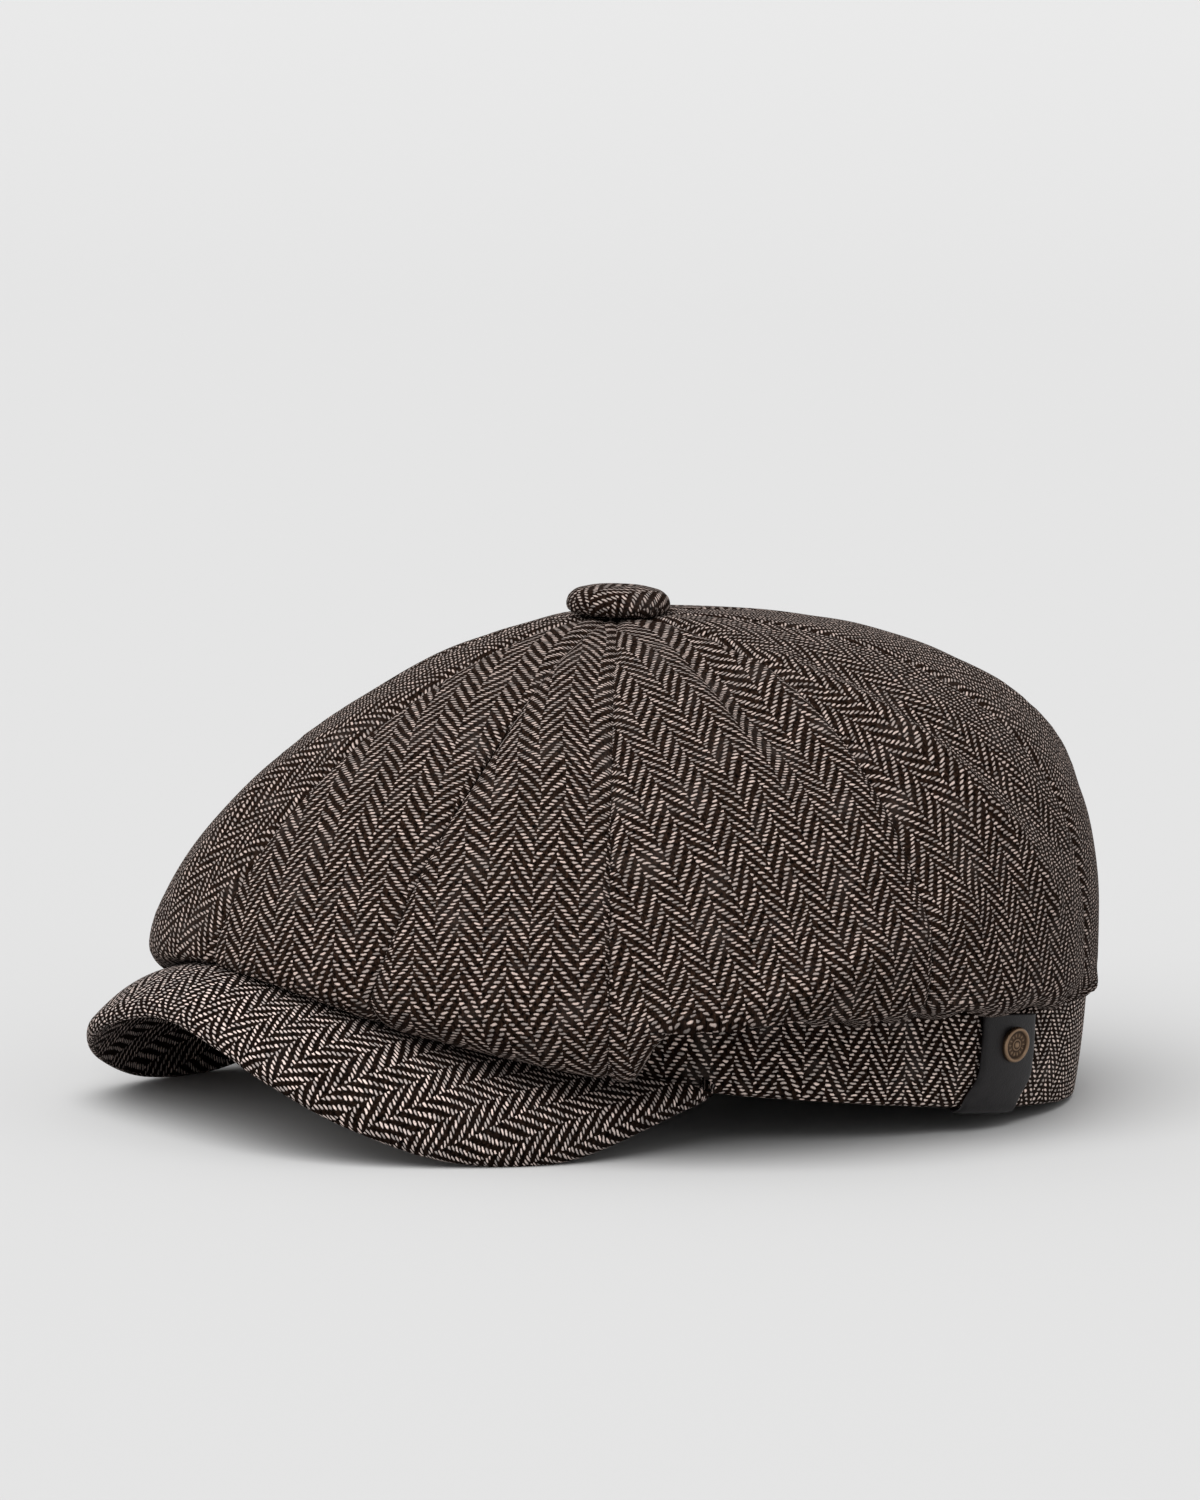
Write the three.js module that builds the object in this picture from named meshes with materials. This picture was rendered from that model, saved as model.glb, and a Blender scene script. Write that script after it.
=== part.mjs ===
// Newsboy flat cap in herringbone tweed: ten crown panels, a covered button, a head band, an arched peak,
// and a leather tab with one rivet folded round the band's lower edge at the left.
// Millimetres, +Z up, the wearer looks towards -Y. The floor is Z = 0: the cap rests on the back of its band
// and on the two wings of its peak. Pieces are shaped about the middle of the band, and the whole cap is then
// centred on the origin. A direction is an angle in plan, 0 at the front and growing to the left (+X).
import * as THREE from "three";

// Driving dimensions
const bandLength = 206; // outside of the band, front to back
const bandWidth = 172; // outside of the band, side to side
const bandHeight = 23;
const bandWall = 2.4;
const bandLean = 2; // how far the band draws in from its top to its lower edge
const bandLift = 19; // how far the band's plane rises from back to front
const bandFlat = 18; // length of the band's lower edge that lies flat on the floor, measured from the back
const crownSpareLength = 35; // how much longer the crown is than the band
const crownSpareWidth = 33;
const crownHeight = 116.5; // middle of the cloth round the button
const buttonSink = 1.2; // how far the button pulls the cloth down
const clothWall = 2;
const buttonSetting = 24; // how far the button stands ahead of the middle of the band
const buttonDiameter = 25;
const buttonHeight = 7.2;
const panelTip = 5; // radius round the button's axis where the panels end
const tuckRise = 0.6; // how far the tucked cloth stands above the band
const panelPuff = 1.6; // how far the middle of a panel stands out beyond its seams
const peakReach = 45; // front of the band to the front edge of the peak
const peakInset = 10.5; // how far each end of the peak stands in from the side of the band
const peakRise = 27; // lower side of the peak's front edge
const peakThickness = 4;
const peakCamber = 6; // how far the peak bulges above a straight rule
const peakArch = 12; // how far the band's lower edge bows up over the peak
const tabWidth = 19.5;
const tabThickness = 1.2;
const tabInside = 12; // how far the tab reaches up inside the band
const tabSlant = 4.5; // how far the tab slides forwards as it wraps under
const rivetDiameter = 8.6;
const rivetHeight = 1.6;
const pieceGap = 0.3;

const crownLength = bandLength + crownSpareLength;
const crownWidth = bandWidth + crownSpareWidth;
const peakWidth = bandWidth - 2 * peakInset;

// Places, as angles
const degree = Math.PI / 180;
const peakHalfSpan = 62 * degree; // angle round the band where each end of the peak is sewn
const peakFullEnd = 0.95; // share of the half span past which the peak is too narrow to carry the crown
const tabAngle = 109.5 * degree; // angle round the band of the tab's middle
const rivetAngle = 110.3 * degree;
const hangEnd = 62.5 * degree; // direction where the crown stops hanging over the band
const tuckStart = 69 * degree; // direction where the crown is wholly tucked in above the band
const hangShare = 0.92; // share of the band's height that the hanging cloth covers

// Seams between the crown's panels, in degrees round from the front to the back of the left side; the right side
// mirrors them. sweep: how far a seam swings forwards from the button to the widest place.
const crownSeams = [
  { direction: 0, sweep: 0 },
  { direction: 26, sweep: 8.5 },
  { direction: 54.5, sweep: -1.5 },
  { direction: 100, sweep: 0 },
  { direction: 140, sweep: 0 },
  { direction: 180, sweep: 0 },
];

// Sections of the crown at even steps from front to back. reach: share of the plain oval's radius;
// widest: height of the widest place as a share of the crown's height; fullness: power of the curve above it;
// fold: how far the lower fold stands out from the band, as a share of the overhang.
const crownSections = [
  { reach: 0.926, widest: 0.34, fullness: 1.6, fold: 0.8 },
  { reach: 0.943, widest: 0.31, fullness: 1.6, fold: 0.5 },
  { reach: 0.975, widest: 0.28, fullness: 1.65, fold: 0.36 },
  { reach: 1.0, widest: 0.3, fullness: 1.84, fold: 0.14 },
  { reach: 1.016, widest: 0.31, fullness: 2.35, fold: 0.14 },
  { reach: 1.018, widest: 0.31, fullness: 2.85, fold: 0.3 },
  { reach: 1.08, widest: 0.31, fullness: 3.0, fold: 0.3 },
];

// Dents and soft folds of the crown. direction and spread in degrees; along: 0 at the button, 1 at the widest
// place, 2 at the lower fold; length in the same measure; height: share of the panel puff, negative for a dent.
const crownFolds = [
  { direction: 72, spread: 9, along: 0.45, length: 0.22, height: -1.3 },
  { direction: 62, spread: 8, along: 0.9, length: 0.35, height: 0.7 },
  { direction: 114, spread: 9, along: 0.7, length: 0.35, height: 0.9 },
  { direction: 126, spread: 8, along: 1.2, length: 0.3, height: -0.8 },
  { direction: 102, spread: 8, along: 1.4, length: 0.3, height: 0.8 },
  { direction: -35, spread: 10, along: 0.7, length: 0.3, height: 0.6 },
  { direction: -75, spread: 10, along: 0.5, length: 0.25, height: -1.1 },
  { direction: -112, spread: 9, along: 0.8, length: 0.3, height: 0.8 },
];

// The peak's outer edge at even steps from its middle to its end. forward: share of the way from the band's
// front to the edge's front; height: share of the rise.
const peakEdge = [
  { forward: 1.0, height: 1.0 },
  { forward: 0.985, height: 0.88 },
  { forward: 0.9, height: 0.64 },
  { forward: 0.645, height: 0.33 },
  { forward: 0.175, height: 0.055 },
  { forward: -0.447, height: 0.06 },
  { forward: -1.206, height: 0.52 },
];

// Mesh steps
const panelSteps = 5;
const upperSteps = 10;
const lowerSteps = 4;
const returnSteps = 4;
const bandSteps = 72;
const peakSteps = 36;
const peakAcross = 5;
const tabSteps = 5;
const latheSides = 24;

// One column of a table whose rows stand at even steps, read at a place from 0 to the last row.
// The table is mirrored past its first row, and past its last row when it closes at the back.
function readTable(table, column, place) {
  const last = table.length - 1;
  const row = Math.min(Math.floor(place), last - 1);
  const value = (i) => table[i > last ? 2 * last - i : Math.abs(i)][column];
  const [a, b, c, d] = [row - 1, row, row + 1, row + 2].map(value);
  const t = place - row;
  return b + 0.5 * t * (c - a + t * (2 * a - 5 * b + 4 * c - d + t * (3 * (b - c) + d - a)));
}

const smooth = (t) => t * t * (3 - 2 * t);
const mix = THREE.MathUtils.lerp;
const clamp = THREE.MathUtils.clamp;

// Band: an oval about the origin, whose lower edge is flat at the back, rises forwards, and bows up over the peak
function bandFloor(y) {
  const flatFrom = bandLength / 2 - bandFlat;
  return bandLift * Math.max(0, (flatFrom - y) / (flatFrom + bandLength / 2));
}

function bandArch(angle) {
  const share = Math.min(1, Math.abs(angle) / peakHalfSpan);
  return peakArch * Math.cos((share * Math.PI) / 2) ** 2;
}

// A point of the band at an angle round it, pushed out along the oval's normal; up is measured from its lower edge
function bandPoint(angle, out, up) {
  const x = (bandWidth / 2) * Math.sin(angle);
  const y = (-bandLength / 2) * Math.cos(angle);
  const normal = new THREE.Vector2(x / bandWidth ** 2, y / bandLength ** 2).normalize();
  const push = out - bandLean * (1 - up / bandHeight);
  const bow = Math.abs(angle) < peakHalfSpan ? bandArch(angle) : 0;
  return new THREE.Vector3(x + normal.x * push, y + normal.y * push, bandFloor(y) + bow + up);
}

// Peak: a sheet ruled from the band's lower edge to the outer edge, arched, with camber across it
function peakOuterEdge(share) {
  const place = Math.abs(share) * (peakEdge.length - 1);
  return new THREE.Vector3(
    (peakWidth / 2) * Math.sin((share * Math.PI) / 2),
    -bandLength / 2 - peakReach * readTable(peakEdge, "forward", place),
    Math.max(0, peakRise * readTable(peakEdge, "height", place)),
  );
}

// The peak's lower side (level 0) or upper side (level 1); share runs -1 to 1 along it, across 0 to 1 outwards
function peakPoint(share, across, level) {
  const seam = bandPoint(share * peakHalfSpan, pieceGap + bandLean, 0);
  const edge = peakOuterEdge(share);
  const step = 0.02;
  const beside = Math.abs(share) > 1 - step ? -Math.sign(share) * step : step;
  const nextSeam = bandPoint((share + beside) * peakHalfSpan, pieceGap + bandLean, 0);
  const nextEdge = peakOuterEdge(share + beside);
  const here = seam.clone().lerp(edge, across);
  const along = nextSeam.lerp(nextEdge, across).sub(here).multiplyScalar(Math.sign(beside));
  const rule = edge.clone().sub(seam);
  const normal = along.cross(rule).normalize();
  if (normal.z < 0) normal.negate();
  const camber = peakCamber * Math.min(1, rule.length() / peakReach) * Math.sin(Math.PI * across ** 1.5);
  return here.addScaledVector(normal, camber + peakThickness * level);
}

// Height of the peak's upper side over a place in plan, or the floor's where the peak isn't under it
function peakTopUnder(x, y) {
  const across = (share) => {
    const inner = peakPoint(share, 0, 1);
    const outer = peakPoint(share, 1, 1);
    const rule = outer.clone().sub(inner);
    return { inner, rule, side: rule.x * (y - inner.y) - rule.y * (x - inner.x) };
  };
  let [low, high] = [-peakFullEnd, peakFullEnd];
  if (across(low).side * across(high).side > 0) return 0;
  const sign = Math.sign(across(high).side);
  const halvings = 24;
  for (let i = 0; i < halvings; i++) {
    const middle = (low + high) / 2;
    if (across(middle).side * sign > 0) high = middle;
    else low = middle;
  }
  const { inner, rule } = across(low);
  const out = ((x - inner.x) * rule.x + (y - inner.y) * rule.y) / (rule.x ** 2 + rule.y ** 2);
  return out < 0 || out > 1 ? 0 : peakPoint(low, out, 1).z;
}

// Crown: a direction is measured at the button's axis
function crownPoint(direction, radius, height) {
  return new THREE.Vector3(radius * Math.sin(direction), -buttonSetting - radius * Math.cos(direction), height);
}

// Angle round the band, and radius from the button's axis, where a direction meets the band's outside
function bandUnder(direction) {
  const [dx, dy] = [(2 * Math.sin(direction)) / bandWidth, (-2 * Math.cos(direction)) / bandLength];
  const start = (-2 * buttonSetting) / bandLength;
  const a = dx * dx + dy * dy;
  const b = start * dy;
  const radius = (-b + Math.sqrt(b * b - a * (start * start - 1))) / a;
  return { radius, angle: Math.atan2(dx * radius, -(start + dy * radius)) };
}

function foldRelief(direction, along) {
  return crownFolds.reduce((sum, fold) => {
    const turn = Math.atan2(Math.sin(direction - fold.direction * degree), Math.cos(direction - fold.direction * degree));
    const across = turn / (fold.spread * degree);
    const down = (along - fold.along) / fold.length;
    return sum + fold.height * Math.exp(-across * across - down * down);
  }, 0);
}

// Places down the cloth: 0 at the button, 1 at the widest place, 2 at the lower fold and on the return behind it
const lineAlong = [];
for (let i = 0; i <= upperSteps; i++) lineAlong.push(i / upperSteps);
for (let i = 1; i <= lowerSteps; i++) lineAlong.push(1 + i / lowerSteps);
for (let i = 1; i <= returnSteps; i++) lineAlong.push(2);

// Sizes of the crown's section in one direction
function crownSection(direction) {
  const turn = Math.abs(Math.atan2(Math.sin(direction), Math.cos(direction)));
  const read = (column) => readTable(crownSections, column, (turn / Math.PI) * (crownSections.length - 1));
  const oval = 1 / Math.hypot((2 * Math.sin(turn)) / crownWidth, (2 * Math.cos(turn)) / crownLength);
  const reach = oval * read("reach");
  const band = bandUnder(turn);
  const top = bandPoint(band.angle, 0, bandHeight).z + tuckRise + clothWall / 2;
  const fold = band.radius + Math.max(reach - band.radius, clothWall) * read("fold");
  const hang = 1 - smooth(clamp((turn - hangEnd) / (tuckStart - hangEnd), 0, 1));
  const carried = [0, 0.3, 0.6].map((share) => {
    const place = crownPoint(turn, mix(fold, reach, share), 0);
    return peakTopUnder(place.x, place.y) + pieceGap + clothWall / 2;
  });
  const foldHeight = Math.max(top - pieceGap - hang * hangShare * bandHeight, ...carried);
  return {
    reach,
    fold,
    top,
    foldHeight: Math.min(top - pieceGap, foldHeight),
    end: band.radius - bandWall / 2,
    widest: crownHeight * read("widest"),
    power: 2 / read("fullness"),
  };
}

// Middle line of the cloth in one direction, from the button to the top of the band, as radius and height.
// puff is 0 on a seam and 1 in the middle of a panel.
function crownLine(direction, puff) {
  const { reach, fold, top, foldHeight, end, widest, power } = crownSection(direction);
  const first = Math.asin((panelTip / reach) ** (1 / power));
  const corner = 0.75; // power that squares the return's shoulder, which clears the band's upper edge
  return lineAlong.map((along, i) => {
    let [radius, height] = [0, 0];
    if (i <= upperSteps) {
      const a = mix(first, Math.PI / 2, along);
      radius = reach * Math.sin(a) ** power;
      height = widest + (crownHeight - widest) * Math.cos(a) ** power;
      height -= buttonSink * Math.exp(-(((2 * radius) / buttonDiameter) ** 2));
    } else if (i <= upperSteps + lowerSteps) {
      const a = ((along - 1) * Math.PI) / 2;
      radius = fold + (reach - fold) * Math.cos(a);
      height = widest - (widest - foldHeight) * Math.sin(a);
    } else {
      const a = (((i - upperSteps - lowerSteps) / returnSteps) * Math.PI) / 2;
      radius = end + (fold - end) * Math.cos(a) ** corner;
      height = foldHeight + (top - foldHeight) * Math.sin(a) ** corner;
    }
    const swell = Math.sin((Math.PI * along) / 2) ** 0.8;
    const relief = panelPuff * swell * (puff + foldRelief(direction, along) * (0.4 + 0.6 * puff));
    return new THREE.Vector2(radius + relief, height);
  });
}

// Direction of a line of points at one of them
function slopeAt(line, i) {
  const before = line[Math.max(i - 1, 0)];
  const after = line[Math.min(i + 1, line.length - 1)];
  return after.clone().sub(before).normalize();
}

// Two lines at half the wall to each side of a middle line
function thicken(line, wall) {
  const sides = [[], []];
  line.forEach((point, i) => {
    const slope = slopeAt(line, i);
    const normal = new THREE.Vector2(-slope.y, slope.x);
    sides[0].push(point.clone().addScaledVector(normal, wall / 2));
    sides[1].push(point.clone().addScaledVector(normal, -wall / 2));
  });
  return sides;
}

// A closed solid through sections, each with an outer and an inner row of points. closed joins last to first.
function wallGeometry(sections, closed) {
  const loops = sections.map(({ outer, inner }) => [...outer, ...[...inner].reverse()]);
  const count = loops[0].length;
  const positions = loops.flat().flatMap((p) => p.toArray());
  let index = [];
  const quad = (a, b, c, d) => index.push(a, b, c, a, c, d);
  const spans = closed ? loops.length : loops.length - 1;
  for (let j = 0; j < spans; j++) {
    const [here, next] = [j * count, ((j + 1) % loops.length) * count];
    for (let i = 0; i < count; i++) {
      const k = (i + 1) % count;
      quad(here + i, here + k, next + k, next + i);
    }
  }
  if (!closed) {
    const last = (loops.length - 1) * count;
    for (let i = 0; i < count / 2 - 1; i++) {
      const [near, far] = [i, count - 1 - i];
      quad(near, far, far - 1, near + 1);
      quad(last + near, last + near + 1, last + far - 1, last + far);
    }
  }
  const corner = (i) => new THREE.Vector3().fromArray(positions, 3 * i);
  let volume = 0;
  for (let i = 0; i < index.length; i += 3) {
    volume += corner(index[i]).dot(corner(index[i + 1]).cross(corner(index[i + 2])));
  }
  if (volume < 0) index = index.reverse();
  const geometry = new THREE.BufferGeometry();
  geometry.setAttribute("position", new THREE.Float32BufferAttribute(positions, 3));
  geometry.setIndex(index);
  geometry.computeVertexNormals();
  return geometry;
}

// Direction of a seam at a place along it; below the widest place it runs straight down
const seamAt = (seam, along) => (seam.direction + seam.sweep * (0.9 - Math.min(along, 1))) * degree;

// One crown panel between two seams; its side faces stand half a gap off each seam
function panelGeometry(from, to) {
  const sections = [];
  for (let j = 0; j <= panelSteps; j++) {
    const share = j / panelSteps;
    const onSeam = j === 0 || j === panelSteps;
    const puff = onSeam ? 0 : Math.sin(Math.PI * share) ** 0.7;
    const trim = j === 0 ? pieceGap / 2 : j === panelSteps ? -pieceGap / 2 : 0;
    const directions = lineAlong.map((along) => mix(seamAt(from, along), seamAt(to, along), share));
    const lines = directions.map((direction) => crownLine(direction, puff));
    const middle = lines.map((line, i) => crownPoint(directions[i], line[i].x, line[i].y));
    const sides = lines.map((line, i) => thicken(line, clothWall).map((side) => side[i]));
    const [outer, inner] = [0, 1].map((side) =>
      sides.map((pair, i) => {
        const aside = new THREE.Vector3(Math.cos(directions[i]), Math.sin(directions[i]), 0);
        const slant = slopeAt(middle, i).dot(aside); // a slanting seam is trimmed wider, which keeps its gap
        const cut = trim / Math.sqrt(1 - slant * slant);
        return crownPoint(directions[i], pair[side].x, pair[side].y).addScaledVector(aside, cut);
      }),
    );
    sections.push({ outer, inner });
  }
  return wallGeometry(sections, false);
}

function bandGeometry() {
  const sections = [];
  for (let j = 0; j < bandSteps; j++) {
    const angle = (j / bandSteps) * 2 * Math.PI;
    const turn = angle > Math.PI ? angle - 2 * Math.PI : angle;
    sections.push({
      outer: [bandPoint(turn, 0, 0), bandPoint(turn, 0, bandHeight)],
      inner: [bandPoint(turn, -bandWall, 0), bandPoint(turn, -bandWall, bandHeight)],
    });
  }
  return wallGeometry(sections, true);
}

function peakGeometry() {
  const sections = [];
  const roll = 0.4 * peakThickness; // how far the edge's round stands out
  for (let j = 0; j <= peakSteps; j++) {
    const share = mix(-1, 1, j / peakSteps);
    const row = (level) => Array.from({ length: peakAcross + 1 }, (_, i) => peakPoint(share, i / peakAcross, level));
    const [outer, inner] = [row(1), row(0)];
    const middle = outer[peakAcross].clone().add(inner[peakAcross]).multiplyScalar(0.5);
    const outwards = middle.clone().sub(peakPoint(share, 0.9, 0.5)).normalize();
    outer.push(middle.addScaledVector(outwards, roll));
    inner.push(outer[peakAcross].clone().lerp(inner[peakAcross], 0.75).addScaledVector(outwards, roll * 0.7));
    sections.push({ outer, inner });
  }
  return wallGeometry(sections, false);
}

// Section of the tab as rows of: share of the slant, how far out, how high, for its outer and its inner side
function tabGeometry() {
  const sections = [];
  const half = tabWidth / bandLength; // half the tab's width as an angle round the band
  const low = -pieceGap;
  const inside = -bandWall - pieceGap;
  const rows = [
    { slant: 0, outer: [pieceGap + tabThickness, bandHeight - pieceGap], inner: [pieceGap, bandHeight - pieceGap] },
    { slant: 0, outer: [pieceGap + tabThickness, bandHeight * 0.62], inner: [pieceGap, bandHeight * 0.62] },
    { slant: 0.25, outer: [pieceGap + tabThickness, bandHeight * 0.28], inner: [pieceGap, bandHeight * 0.28] },
    { slant: 0.7, outer: [pieceGap + tabThickness, bandHeight * 0.06], inner: [pieceGap, bandHeight * 0.06] },
    { slant: 1, outer: [pieceGap + tabThickness / 2, low - tabThickness * 0.85], inner: [pieceGap, low] },
    { slant: 1, outer: [inside - tabThickness / 2, low - tabThickness * 0.85], inner: [inside, low] },
    { slant: 1, outer: [inside - tabThickness, bandHeight * 0.06], inner: [inside, bandHeight * 0.06] },
    { slant: 1, outer: [inside - tabThickness, tabInside], inner: [inside, tabInside] },
  ];
  for (let j = 0; j <= tabSteps; j++) {
    const angle = mix(tabAngle - half, tabAngle + half, j / tabSteps);
    const side = (name) => rows.map((row) => bandPoint(angle - (2 * row.slant * tabSlant) / bandLength, ...row[name]));
    sections.push({ outer: side("outer"), inner: side("inner") });
  }
  return wallGeometry(sections, false);
}

// Turned shapes stand on their flat underside, with the axis up
function turnedGeometry(profile) {
  const points = profile.map(([radius, height]) => new THREE.Vector2(radius, height));
  return new THREE.LatheGeometry(points, latheSides).rotateX(Math.PI / 2);
}

function buttonGeometry() {
  const r = buttonDiameter / 2;
  const h = buttonHeight;
  return turnedGeometry([
    [0, 0],
    [r * 0.84, 0],
    [r * 0.97, h * 0.14],
    [r, h * 0.36],
    [r * 0.96, h * 0.62],
    [r * 0.82, h * 0.83],
    [r * 0.5, h * 0.96],
    [0, h],
  ]);
}

function rivetGeometry() {
  const r = rivetDiameter / 2;
  const h = rivetHeight;
  return turnedGeometry([
    [0, 0],
    [r * 0.9, 0],
    [r, h * 0.4],
    [r * 0.94, h * 0.85],
    [r * 0.82, h],
    [r * 0.7, h * 0.75],
    [r * 0.3, h * 0.72],
    [r * 0.2, h * 0.95],
    [0, h],
  ]);
}

// Materials
const finish = (color, roughness, metalness) => new THREE.MeshStandardMaterial({ color, roughness, metalness });
const tweed = () => finish(0x5a4f47, 0.95, 0);

const cap = new THREE.Group();
cap.name = "flat_cap";
function addPiece(name, geometry, material) {
  const mesh = new THREE.Mesh(geometry, material);
  mesh.name = name;
  cap.add(mesh);
  return mesh;
}

// Crown panels, numbered from the front round the wearer's left side
const mirrored = ({ direction, sweep }) => ({ direction: 360 - direction, sweep: -sweep });
const seamsRound = [...crownSeams, ...crownSeams.slice(0, -1).reverse().map(mirrored)];
for (let i = 0; i < seamsRound.length - 1; i++) {
  addPiece(`crown_panel_${i + 1}`, panelGeometry(seamsRound[i], seamsRound[i + 1]), tweed());
}

const button = addPiece("top_button", buttonGeometry(), tweed());
button.position.set(0, -buttonSetting, crownHeight - buttonSink + clothWall / 2 + 2 * pieceGap);

addPiece("band", bandGeometry(), tweed());
addPiece("peak", peakGeometry(), tweed());
addPiece("leather_tab", tabGeometry(), finish(0x1c1817, 0.5, 0));

// The rivet stands on the tab's outside, square to it
const rivet = addPiece("rivet", rivetGeometry(), finish(0x7a6248, 0.4, 0.9));
const rivetUp = bandHeight * 0.68;
const seat = bandPoint(rivetAngle, 2 * pieceGap + tabThickness, rivetUp);
const faceUp = bandPoint(rivetAngle, 0, rivetUp + 1).sub(bandPoint(rivetAngle, 0, rivetUp)).normalize();
const outward = seat.clone().sub(bandPoint(rivetAngle, 0, rivetUp)).projectOnPlane(faceUp).normalize();
rivet.position.copy(seat);
rivet.quaternion.setFromUnitVectors(new THREE.Vector3(0, 0, 1), outward);

// Centred front to back
const middle = new THREE.Box3().setFromObject(cap).getCenter(new THREE.Vector3());
cap.children.forEach((piece) => {
  piece.position.y -= middle.y;
});

export default cap;
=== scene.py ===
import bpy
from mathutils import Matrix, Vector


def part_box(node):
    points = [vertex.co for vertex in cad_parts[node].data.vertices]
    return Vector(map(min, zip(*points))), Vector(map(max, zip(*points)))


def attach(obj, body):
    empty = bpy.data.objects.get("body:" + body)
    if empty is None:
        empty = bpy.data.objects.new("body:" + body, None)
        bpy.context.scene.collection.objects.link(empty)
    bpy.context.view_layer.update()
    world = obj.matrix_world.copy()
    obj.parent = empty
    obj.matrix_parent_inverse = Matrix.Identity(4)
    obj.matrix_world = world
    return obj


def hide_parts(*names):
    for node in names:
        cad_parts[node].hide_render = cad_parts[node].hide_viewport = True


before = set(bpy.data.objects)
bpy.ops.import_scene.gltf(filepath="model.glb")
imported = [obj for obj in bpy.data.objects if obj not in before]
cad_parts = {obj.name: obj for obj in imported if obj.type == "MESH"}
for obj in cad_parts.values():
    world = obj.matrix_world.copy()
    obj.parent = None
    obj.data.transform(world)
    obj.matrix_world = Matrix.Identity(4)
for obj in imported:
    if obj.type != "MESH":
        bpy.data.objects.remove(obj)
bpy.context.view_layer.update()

import math
import random
import bpy
import numpy as np
from mathutils import Matrix, Vector

mm = 0.001
degree = math.pi / 180

# Shapes are worked out in millimetres about the middle of the band, then moved to where the solids stand.
bandLow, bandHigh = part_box("band")
middleY = (bandLow.y + bandHigh.y) / 2 / mm

gap = 0.3  # between neighbouring pieces

band = {
    "length": 206, "width": 172, "height": 23, "wall": 2.4,
    "lean": 2,         # how far it draws in towards its lower edge
    "lift": 19,        # how far it rises from back to front
    "flat": 18,        # length of the lower edge that lies on the floor
    "backRise": 3.5,   # how much deeper it is behind, and the directions between which it gets so
    "riseFrom": 100 * degree, "riseTo": 135 * degree,
    "bulge": 0.35,     # the cloth stands out a little between its two edges
    "wobble": 0.25, "waveSize": 30,    # unevenness of the cloth
    "phase": 1.5,      # where the chevrons start, in mm
    "columns": 460, "rows": 16,
}

peak = {
    "reach": 45, "width": 151, "rise": 27, "thickness": 4, "camber": 6, "arch": 12,
    "halfSpan": 62 * degree, "fullEnd": 0.95,
    # The outer edge from the middle to its end: how far forward and how high, as shares of reach and rise
    "forward": [1.0, 0.985, 0.9, 0.645, 0.175, -0.447, -1.206],
    "height": [1.0, 0.88, 0.64, 0.33, 0.055, 0.06, 0.52],
    "phase": 3.0,
    "columns": 190, "across": 44, "roll": 9,
}

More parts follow.
